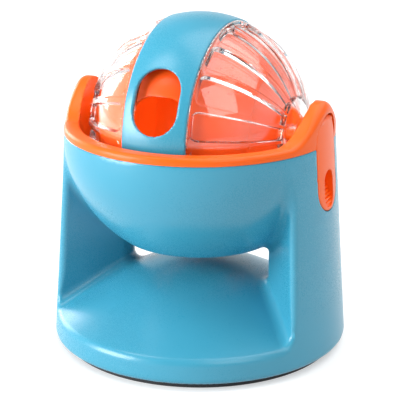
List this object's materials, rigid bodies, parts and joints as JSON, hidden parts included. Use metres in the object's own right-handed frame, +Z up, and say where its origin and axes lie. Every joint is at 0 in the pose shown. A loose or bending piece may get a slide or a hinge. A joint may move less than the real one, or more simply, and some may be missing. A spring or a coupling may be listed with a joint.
{
  "type": "treat ball",
  "caption": "Pet treat toy: a ribbed clear ball with a slotted band turns on side pivots in a lined bowl, clipped into a round stand with a treat tray open to the front and back.",
  "frame": {"origin": "on the table under the middle of the base", "axes": "+Z up, front of the toy towards -Y, ball axle along X"},
  "size_m": [0.133, 0.133, 0.1494],
  "materials": {
    "blue_plastic": "satin moulded",
    "orange_plastic": "semi-gloss moulded",
    "clear_plastic": "polished clear",
    "black_rubber": "matt",
    "steel": "plain"
  },
  "bodies": {
    "root": {"stand": "blue_plastic", "foot_ring": "black_rubber", "base_plate": "blue_plastic", "base_screws": "steel", "cradle": "orange_plastic", "pivot_pin_left": "orange_plastic", "pivot_pin_right": "orange_plastic", "clip_pin_left": "steel", "clip_pin_right": "steel"},
    "ball": {"ball_band": "blue_plastic", "inner_ring": "orange_plastic", "shell_left": "clear_plastic", "shell_right": "clear_plastic"},
    "clip_left": {"clip_left": "orange_plastic"},
    "clip_right": {"clip_right": "orange_plastic"}
  },
  "joints": [
    {"name": "ball_spin", "type": "hinge", "parent": "root", "child": "ball", "pos_m": [0, 0, 0.0997], "axis": [1, 0, 0], "continuous": true},
    {"name": "clip_left_flip", "type": "hinge", "parent": "root", "child": "clip_left", "pos_m": [-0.05713, 0, 0.1076], "axis": [0, 1, 0], "range_deg": [0, 20]},
    {"name": "clip_right_flip", "type": "hinge", "parent": "root", "child": "clip_right", "pos_m": [0.05713, 0, 0.1076], "axis": [0, -1, 0], "range_deg": [0, 20]}
  ]
}
